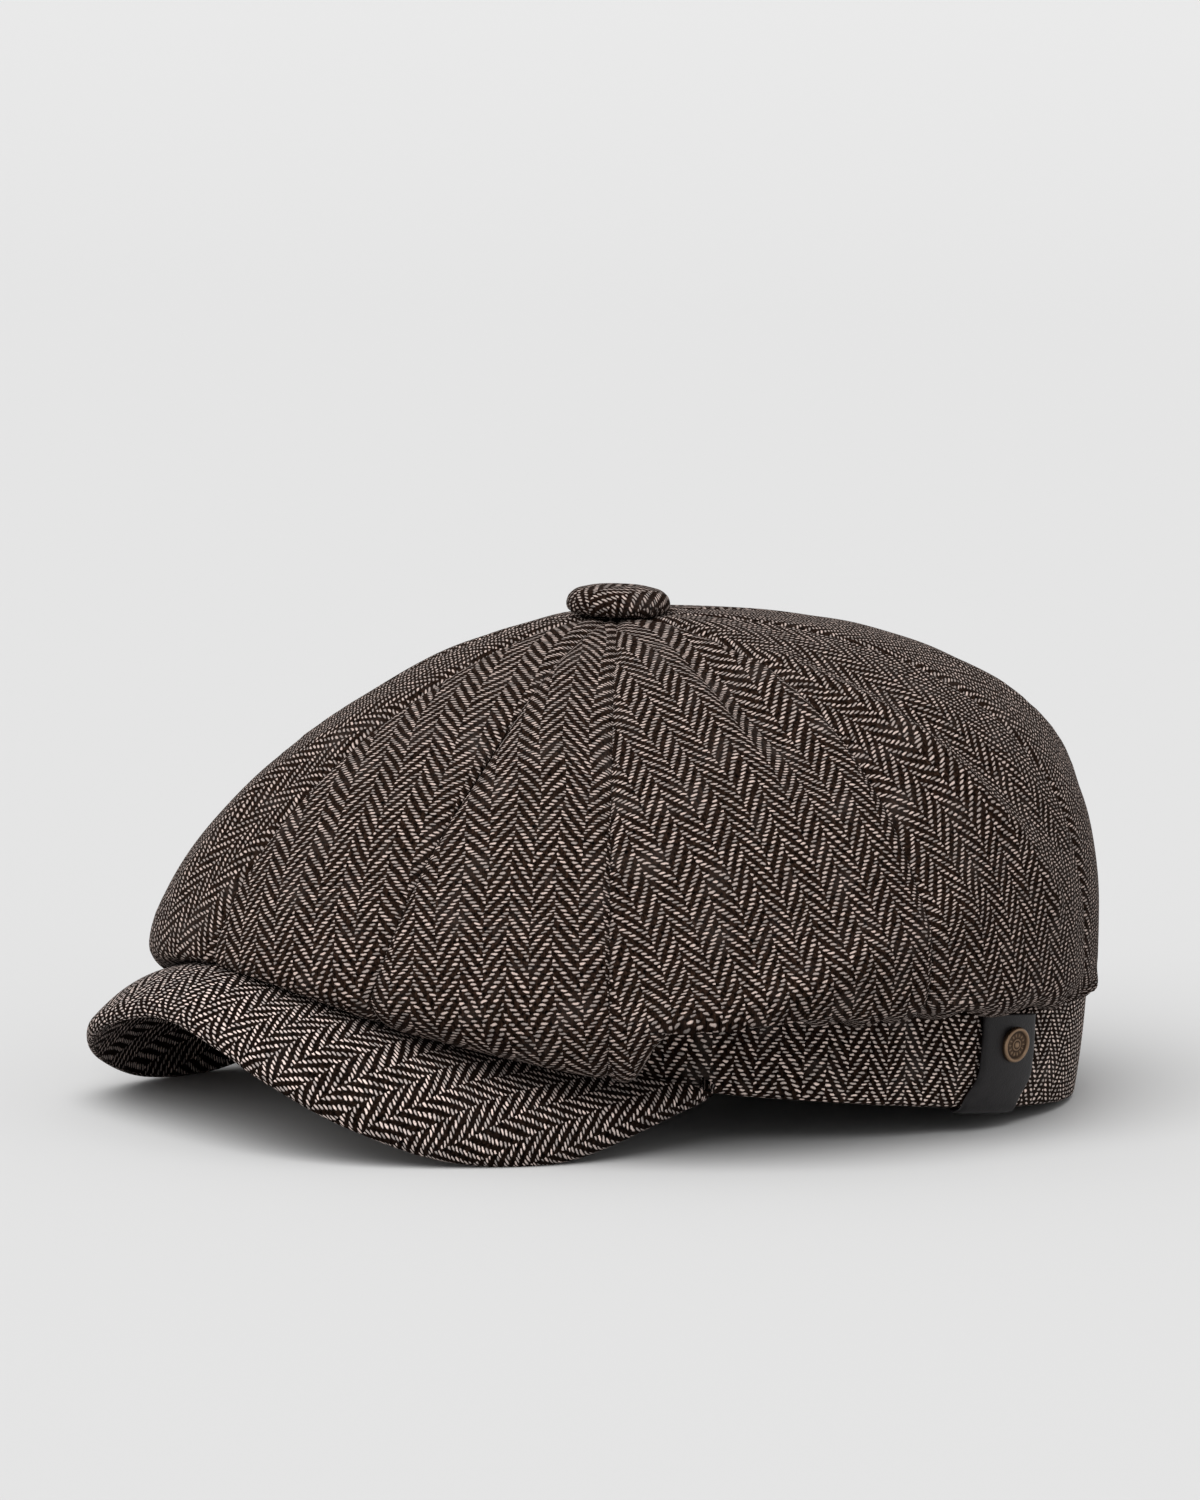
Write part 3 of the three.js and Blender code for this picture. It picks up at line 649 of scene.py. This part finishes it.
def brassMaterial():
    material, tree, shader, place = startMaterial("agedBrass")
    # The second coordinate is how deep a place lies in the recess
    deep = feed(tree, tree.nodes.new("ShaderNodeSeparateXYZ"), {0: place}).outputs[1]
    patina = noiseNode(tree, place, *brass["patina"])
    share = mathNode(tree, "MULTIPLY_ADD", patina, brass["patinaShare"], deep)
    share = mapRange(tree, share, *brass["patinaEdge"])
    feed(tree, shader, {
        "Base Color": mixColour(tree, share, brass["bright"], brass["dull"]), "Metallic": 1,
        "Roughness": mathNode(tree, "MULTIPLY_ADD", share, brass["roughSpread"], brass["roughness"]),
    })
    return material


agedBrass = brassMaterial()
print("materials ready")


# Crown: ten panels sewn together. Each is one closed sheet with its edges turned into the seams.

def seamAt(seam, along):
    return (seam[0] + seam[1] * (0.9 - np.minimum(along, 1))) * degree


def evenly(points, count):
    # Shares of the way at which a line is cut into even lengths
    way = runLength(points, 0)
    return np.interp(np.linspace(0, way[-1], count), way, np.linspace(0, 1, len(way)))


def crownRows(fromSeam, toSeam):
    # Rows down a panel at even lengths on its middle line: along, back
    def middleLine(along, back):
        direction = (seamAt(fromSeam, along) + seamAt(toSeam, along)) / 2
        return crownMiddle(direction, along, back, np.ones_like(along))

    t = np.linspace(0, 1, 400)
    upper = evenly(middleLine(t, t * 0), crown["upperRows"])
    lower = evenly(middleLine(1 + t, t * 0), crown["lowerRows"])
    back = evenly(middleLine(t * 0 + 2, t), crown["returnRows"])
    along = np.concatenate([upper, 1 + lower[1:], np.full(len(back) - 1, 2.0)])
    return along, np.concatenate([upper * 0, lower[1:] * 0, back[1:]])


def layPanelFlat(number, outer, x, y):
    # A first guess at the cloth laid flat: below the widest row every column runs on straight down
    down = runLength(outer, 0)
    widest = crown["upperRows"] - 1
    x[widest:] = x[widest]
    y[widest:] = y[widest] + down[widest:] - down[widest]
    front = crown["upperRows"] + crown["lowerRows"] - 3
    flat = flatten(outer[:front], np.stack([x, y], -1)[:front])
    past = unit(flat[-1] - flat[-3])
    flat = np.concatenate([flat, flat[[-1]] + past[None] * (down[front:] - down[front - 1])[..., None]])
    # Each panel is cut at its own angle to the chevrons
    turn = crown["turns"][number - 1] * degree
    x, y = flat[..., 0], flat[..., 1] - crown["turnedAbout"]
    x, y = x * math.cos(turn) - y * math.sin(turn), x * math.sin(turn) + y * math.cos(turn)
    return np.stack([x + crown["phases"][number - 1], y], -1)


def crownPanel(number, fromSeam, toSeam):
    along, back = (column[:, None] for column in crownRows(fromSeam, toSeam))
    t = np.linspace(0, 1, crown["columns"])
    share = 0.45 * t + 0.55 * (1 - np.cos(math.pi * t)) / 2   # closer together at the seams
    direction = seamAt(fromSeam, along) * (1 - share) + seamAt(toSeam, along) * share
    puff = np.maximum(np.sin(math.pi * share), 0) ** crown["puffAside"]
    middle = crownMiddle(direction, along, back, puff * np.ones_like(direction))
    # Lengths over the cloth, from the panel's middle aside and from the button down
    aside = runLength(middle, 1)
    x = aside - np.array([np.interp(0.5, share, row) for row in aside])[:, None]
    middleColumn = int(round(np.interp(0.5, share, np.arange(crown["columns"]))))
    y = runLength(middle, 0)[:, [middleColumn]] * np.ones_like(x)
    # The cloth's face looks away from a place in the hollow
    normal = gridNormals(middle)
    outward = (normal * (middle - np.array([0, 0, 40]))).sum(-1)
    if outward[: crown["upperRows"]].mean() < 0:
        normal = -normal
    fromEdge = np.minimum(aside, aside[:, [-1]] - aside)
    groove = crown["grooveDepth"] * np.exp(-(fromEdge / crown["grooveWidth"]) ** crown["grooveShape"])
    uneven = crown["wobble"] * waves(x, y, number, crown["waveSize"]) * ramp(fromEdge, 0, 6) * ramp(y, 0, 12)
    # Folds, and gathers where the cloth is drawn in above the band
    relief = foldRelief(middle) * smooth(1.5 - along / 1.3 - back)
    turn = np.arctan2(np.sin(direction), np.cos(direction))
    gathered = ramp(np.abs(turn), crown["tuckStart"], crown["tuckStart"] + crown["tuckGrow"])
    gathered = gathered * ramp(along, *crown["tuckRows"]) * (1 - back)
    around = turn * crown["tuckRadius"] + crown["tuckShift"] * np.sin(turn * 7 + 1)
    around = around + (2 - along) * crown["tuckSlant"] * np.sign(turn)
    relief = relief + crown["tucks"] * gathered * np.sin(2 * math.pi * around / crown["tuckLength"])
    outer = middle + normal * (crown["wall"] / 2 - groove + uneven + relief)[..., None]
    inner = middle + normal * (relief - crown["wall"] / 2)[..., None]
    uv = layPanelFlat(number, outer, x, y)
    loftObject(
        f"crownPanel{number}", np.concatenate([outer, inner[:, ::-1]], 1), np.concatenate([uv, uv[:, ::-1]], 1),
        crownTweed, "crown_tweed", f"crown_panel_{number}",
    )


def mirrored(seam):
    return 360 - seam[0], -seam[1]


seamsRound = crown["seams"] + [mirrored(seam) for seam in crown["seams"][-2::-1]]
for number, (fromSeam, toSeam) in enumerate(zip(seamsRound, seamsRound[1:]), 1):
    crownPanel(number, fromSeam, toSeam)
print("crown ready")


# Band: cloth folded round its lower edge

def makeBand():
    rows, radius = band["rows"], band["wall"] / 2
    # Section of the folded cloth, from the outside's upper edge down and up inside: how far out, how high
    up = np.linspace(radius, band["height"], rows)
    turn = np.linspace(0, math.pi, 9)[1:-1]
    outs = np.concatenate([up[::-1] * 0, -radius + radius * np.cos(turn), up * 0 - band["wall"]])[:, None]
    ups = np.concatenate([up[::-1], radius - radius * np.sin(turn), up])[:, None]
    angle = np.linspace(-math.pi, math.pi, band["columns"], endpoint=False)
    way = runLength(bandPoint(np.append(angle, math.pi), 0, 10), 0)[:-1]
    bulge = band["bulge"] * np.sin(math.pi * ups / band["height"]) * (outs > -radius)
    uneven = band["wobble"] * waves(way, ups * 2, 21, band["waveSize"])
    uneven = uneven * np.sin(math.pi * np.clip(ups / band["height"], 0, 1))
    points = bandPoint(angle, outs + bulge + uneven, ups * (1 + backRise(angle) / band["height"]))
    down = runLength(np.concatenate([outs, ups], 1), 0)
    uv = np.stack(np.broadcast_arrays(way + band["phase"], down[:, None]), -1)
    points, uv = points.transpose(1, 0, 2), uv.transpose(1, 0, 2)
    loftObject("headBand", points, uv, bandTweedPaintedLight, "band_tweed", "band", closed=True)


makeBand()
print("band ready")


# Peak: cloth over a stiff core, rolled round its outer edge

def makePeak():
    share = np.linspace(-1, 1, peak["columns"])[:, None]
    across = np.linspace(0, 1, peak["across"])
    upper, lower = peakPoint(share, across, 1), peakPoint(share, across, 0)
    edgeUp, edgeLow = upper[:, -1], lower[:, -1]
    middle = (edgeUp + edgeLow) / 2
    outwards = unit(middle - peakPoint(share, 0.9, 0.5)[:, 0])
    roll = 0.4 * peak["thickness"]
    turn = np.linspace(0, math.pi, peak["roll"] + 2)[1:-1, None]
    rolled = middle[:, None] + (edgeUp - middle)[:, None] * np.cos(turn) + outwards[:, None] * (roll * np.sin(turn))
    points = np.concatenate([upper, rolled, lower[:, ::-1]], 1)
    points[..., 2] = np.maximum(points[..., 2], 0)   # the two wings lie on the floor
    # The cloth laid flat: x runs over the arch from side to side, y from front to back
    flatIn, flatOut = unrolled(upper[:, 0], upper[:, -1])
    flat = flatIn[:, None] + (flatOut - flatIn)[:, None] * across[:, None] + (peak["phase"], 0)
    past = unit(flat[:, -1] - flat[:, -3] + (0, -0.001))
    rolledFlat = flat[:, [-1]] + past[:, None] * (0.5 * peak["thickness"] * turn)
    uv = np.concatenate([flat, rolledFlat, flat[:, ::-1]], 1)
    loftObject("archedPeak", points, uv, peakTweed, "peak_tweed", "peak")


makePeak()
print("peak ready")


# Button: a dome covered with one round of cloth
button = {
    "diameter": 25, "height": 7.2, "lift": 0.1, "sides": 120, "rows": 60, "phase": 2.4, "turn": 12 * degree,
    "gathers": 13, "gatherDepth": 0.18, "gatherTop": 0.55,    # round the lower side, where the cloth is drawn in
    "outline": [
        (0, 0), (0.84, 0), (0.97, 0.14), (1, 0.36), (0.96, 0.62), (0.82, 0.83), (0.5, 0.96), (0.2, 0.995), (0, 1),
    ],
}


def softOutline(outline, rows, rounds):
    # Cuts a turned piece's outline into even steps and softens it: radius, height, way along it
    way = runLength(outline, 0)
    at = np.linspace(0, way[-1], rows)
    radius, height = (np.interp(at, way, outline[:, k]) for k in (0, 1))
    for _ in range(rounds):
        for line in (radius, height):
            line[1:-1] = (line[:-2] + 2 * line[1:-1] + line[2:]) / 4
    return radius, height, at


def makeButton():
    r, h = button["diameter"] / 2, button["height"]
    radius, height, at = (
        line[:, None] for line in softOutline(np.array(button["outline"]) * (r, h), button["rows"], 3)
    )
    radius[0] = radius[-1] = 0.02
    turn = np.linspace(0, 2 * math.pi, button["sides"], endpoint=False)
    low = ramp(height, button["gatherTop"] * h, 0) * ramp(radius, 0, r)
    ring = radius + button["gatherDepth"] * low * np.sin(button["gathers"] * turn + 0.7 * np.sin(3 * turn))
    base = crown["height"] - crown["sink"] + crown["wall"] / 2 + button["lift"]
    points = np.stack([ring * np.cos(turn), ring * np.sin(turn) - crown["setting"], base + height + 0 * turn], -1)
    fromTop, turned = at[-1] - at, turn - button["turn"]
    uv = np.stack([fromTop * np.cos(turned) + button["phase"], fromTop * np.sin(turned)], -1)
    loftObject("clothButton", points, uv, buttonTweed, "button_tweed", "top_button")


makeButton()
print("button ready")


# Leather tab: one strip from the seam down the band's outside, round its lower edge and up inside
tab = {
    "width": 22, "thickness": 1.2, "inside": 12, "angle": 109.2 * degree,
    "slant": 4.5, "slantFrom": 0.6,    # how far its lower end runs to the front, and how far down that starts
    "bow": 0.7,        # how far the strip stands off the band half way down
    "cushion": 0.25,   # how much thicker it is along its middle
    "edgeShape": 14,   # how square its two edges are
    "bendFrom": 1.3, "bendMiddle": 1.0,    # heights at which it turns under the band
    "steps": (60, 24, 40), "rows": 110, "columns": 30,
}


def makeTab():
    t = tab["thickness"]
    top = band["height"] - gap
    outside, centre, inside = gap + t / 2, -band["wall"] / 2, -band["wall"] - gap - t / 2
    # Middle line of the strip's section: how far out, how high
    downSteps, bendSteps, upSteps = tab["steps"]
    bend = np.linspace(0, math.pi, bendSteps)
    under = tab["bendMiddle"] - (tab["bendMiddle"] + gap + t / 2) * np.sin(bend)
    line = np.concatenate([
        np.stack([np.full(downSteps, outside), np.linspace(top, tab["bendFrom"], downSteps)], -1),
        np.stack([centre + (outside - centre) * np.cos(bend), under], -1),
        np.stack([np.full(upSteps, inside), np.linspace(tab["bendFrom"], tab["inside"], upSteps)], -1),
    ])
    way = runLength(line, 0)
    at = np.linspace(0, way[-1], tab["rows"])
    out, up = (np.interp(at, way, line[:, k]) for k in (0, 1))
    slopeOut, slopeUp = np.gradient(out), np.gradient(up)
    scale = np.hypot(slopeOut, slopeUp)
    normalOut, normalUp = -slopeUp / scale, slopeOut / scale
    down = np.clip(1 - up / top, 0, 1)
    bowed = tab["bow"] * np.sin(math.pi * down) * (out > 0)
    slant = tab["slant"] * np.where(out > 0, ramp(down, tab["slantFrom"], 1), 1)
    # Section of the strip: flat sides with rounded edges
    side = np.linspace(-1, 1, tab["columns"])
    level = np.sqrt(np.maximum(0, 1 - np.abs(side) ** tab["edgeShape"]))
    side, level = np.append(side, side[::-1]), np.append(level, -level[::-1]) * t / 2
    angle = tab["angle"] + (side * tab["width"] - 2 * slant[:, None]) / band["length"]
    cushion = tab["cushion"] * (1 - side ** 2) * np.sign(level)
    outs = (out + bowed)[:, None] + normalOut[:, None] * (level + cushion)
    points = bandPoint(angle, outs, up[:, None] + normalUp[:, None] * level)
    uv = np.stack(np.broadcast_arrays(side * tab["width"] / 2, at[:, None]), -1)
    loftObject("leatherTab", points, uv, tabLeather, "leather", "leather_tab")


makeTab()
print("tab ready")


# Rivet: a turned cap with a raised rim, a beaded recess and a centre dot
rivet = {
    "diameter": 8.6, "height": 1.6, "angle": 109.3 * degree,
    "up": 0.68,            # its place on the band, as a share of the band's height
    "tilt": 8 * degree,    # the strip turns it a little to the front
    "standOff": 0.5,
    "beads": 14, "beadHeight": 0.22, "beadRing": 0.53, "ringWidth": 0.09, "beadShape": 0.8,
    "sides": 168, "rows": 84,
    "outline": [
        (0.0, 0), (0.9, 0), (0.99, 0.2), (1.0, 0.45), (0.985, 0.75), (0.93, 0.95), (0.87, 1.0), (0.81, 0.96),
        (0.765, 0.8), (0.73, 0.7), (0.6, 0.67), (0.42, 0.67), (0.35, 0.69), (0.32, 0.78), (0.27, 0.8), (0.235, 0.74),
        (0.2, 0.72), (0.17, 0.8), (0.12, 0.92), (0.06, 0.97), (0.0, 0.98),
    ],
    # How deep each of these places lies, for the patina, and the one where the recess begins
    "deep": [1, 1, 0.5, 0.1, 0, 0, 0, 0.1, 0.5, 0.9, 0.7, 0.7, 0.9, 0.3, 0.2, 0.8, 0.9, 0.4, 0.1, 0, 0],
    "recess": 8,
}


def makeRivet():
    r, h = rivet["diameter"] / 2, rivet["height"]
    outline = np.array(rivet["outline"]) * (r, h)
    way = runLength(outline, 0)
    radius, height, at = softOutline(outline, rivet["rows"], 1)
    deep = np.interp(at, way, rivet["deep"])
    radius[0] = radius[-1] = 0.01
    turn = np.linspace(0, 2 * math.pi, rivet["sides"], endpoint=False)
    inRing = np.exp(-((radius / r - rivet["beadRing"]) / rivet["ringWidth"]) ** 2) * (at > way[rivet["recess"]])
    beads = inRing[:, None] * np.maximum(0, np.cos(rivet["beads"] * turn)) ** rivet["beadShape"]
    # It stands square on the tab's face
    up = band["height"] * rivet["up"]
    foot = bandPoint(rivet["angle"], 0, up)
    seat = bandPoint(rivet["angle"], 2 * gap + tab["thickness"] + rivet["standOff"], up)
    faceUp = unit(bandPoint(rivet["angle"], 0, up + 1) - foot)
    outward = seat - foot
    outward = unit(outward - faceUp * (outward * faceUp).sum())
    outward = outward * math.cos(rivet["tilt"]) - np.cross(faceUp, outward) * math.sin(rivet["tilt"])
    aside = np.cross(faceUp, outward)
    ring = radius[:, None] + 0 * turn
    tall = height[:, None] + rivet["beadHeight"] * beads
    points = seat + sum(part[..., None] * axis for part, axis in (
        (ring * np.cos(turn), aside), (ring * np.sin(turn), faceUp), (tall, outward),
    ))
    uv = np.stack([ring + turn, deep[:, None] - 0.6 * beads], -1)
    loftObject("brassRivet", points, uv, agedBrass, "antique_brass", "rivet")


makeRivet()
print("rivet ready")


# Studio: a pale sweep, soft light from above, and the camera
studio = {
    "floorColour": (0.55, 0.55, 0.55), "flat": 5.0, "reach": 30.0, "rise": 55.0, "rings": 30, "sides": 96,
    "air": 0.6,
    # Power, softness, how far from straight above, how far round from the camera to the left
    "lights": {
        "skylight": (3.05, 62 * degree, 35 * degree, 20 * degree),
        "frontFill": (0.5, 35 * degree, 78 * degree, 42 * degree),
    },
}
camera = {
    "azimuth": 54.04 * degree, "elevation": 7.10 * degree, "roll": 1.74 * degree, "distance": 1.5,
    "target": (0, -0.02, 0.06), "lens": 150.12, "shiftX": -0.01633, "shiftY": 0.0654,
}


def viewAxes():
    a, e, roll = camera["azimuth"], camera["elevation"], camera["roll"]
    back = Vector((math.sin(a) * math.cos(e), -math.cos(a) * math.cos(e), math.sin(e)))
    right = Vector((math.cos(a), math.sin(a), 0))
    up = back.cross(right)
    return right * math.cos(roll) + up * math.sin(roll), up * math.cos(roll) - right * math.sin(roll), back


def makeCamera():
    data = bpy.data.cameras.new("photoView")
    data.sensor_width = 36
    data.lens = camera["lens"]
    data.shift_x, data.shift_y = camera["shiftX"], camera["shiftY"]
    data.clip_start, data.clip_end = 0.05, 60
    holder = bpy.data.objects.new("photoView", data)
    right, up, back = viewAxes()
    turn = Matrix((right, up, back)).transposed().to_4x4()
    target = Vector(camera["target"]) + Vector((0, middleY * mm, 0))
    holder.matrix_world = Matrix.Translation(target + back * camera["distance"]) @ turn
    bpy.context.scene.collection.objects.link(holder)
    bpy.context.scene.camera = holder


def makeFloor():
    # A wide floor that rises very gently far out, so that no edge of it shows
    rings = np.concatenate([[0.05, 0.3, 1, 2.5], np.linspace(studio["flat"], studio["reach"], studio["rings"])])[:, None]
    heights = np.maximum(0, rings - studio["flat"]) ** 2 / (2 * studio["rise"])
    turn = np.linspace(0, 2 * math.pi, studio["sides"], endpoint=False)
    points = np.stack([rings * np.cos(turn), rings * np.sin(turn), heights + 0 * turn], -1).reshape(-1, 3)
    faces = ringFaces(len(rings), len(turn), False).tolist() + [list(range(len(turn)))]
    mesh = bpy.data.meshes.new("paleFloor")
    mesh.from_pydata(points.tolist(), [], faces)
    mesh.polygons.foreach_set("use_smooth", [True] * len(faces))
    floor = bpy.data.objects.new("paleFloor", mesh)
    material = bpy.data.materials.new("paleFloor")
    material.use_nodes = True
    feed(material.node_tree, material.node_tree.nodes["Principled BSDF"], {
        "Base Color": studio["floorColour"], "Roughness": 1, "Specular IOR Level": 0,
    })
    mesh.materials.append(material)
    bpy.context.scene.collection.objects.link(floor)


def makeLight():
    # One wide soft light from above, a low one from the peak's side, and even air all round
    right, _, back = viewAxes()
    back = Vector((back.x, back.y, 0)).normalized()
    for name, (power, softness, lean, fromCamera) in studio["lights"].items():
        side = back * math.cos(fromCamera) - right * math.sin(fromCamera)
        towards = Vector((0, 0, 1)) * math.cos(lean) + side * math.sin(lean)
        data = bpy.data.lights.new(name, "SUN")
        data.energy, data.angle = power, softness
        light = bpy.data.objects.new(name, data)
        light.rotation_mode = "QUATERNION"
        light.rotation_quaternion = towards.to_track_quat("Z", "Y")
        bpy.context.scene.collection.objects.link(light)
    world = bpy.data.worlds.new("studioAir")
    bpy.context.scene.world = world
    world.use_nodes = True
    feed(world.node_tree, world.node_tree.nodes["Background"], {"Color": (1, 1, 1), "Strength": studio["air"]})


makeCamera()
makeFloor()
makeLight()
bpy.context.scene.view_settings.view_transform = "Standard"
print("studio ready")
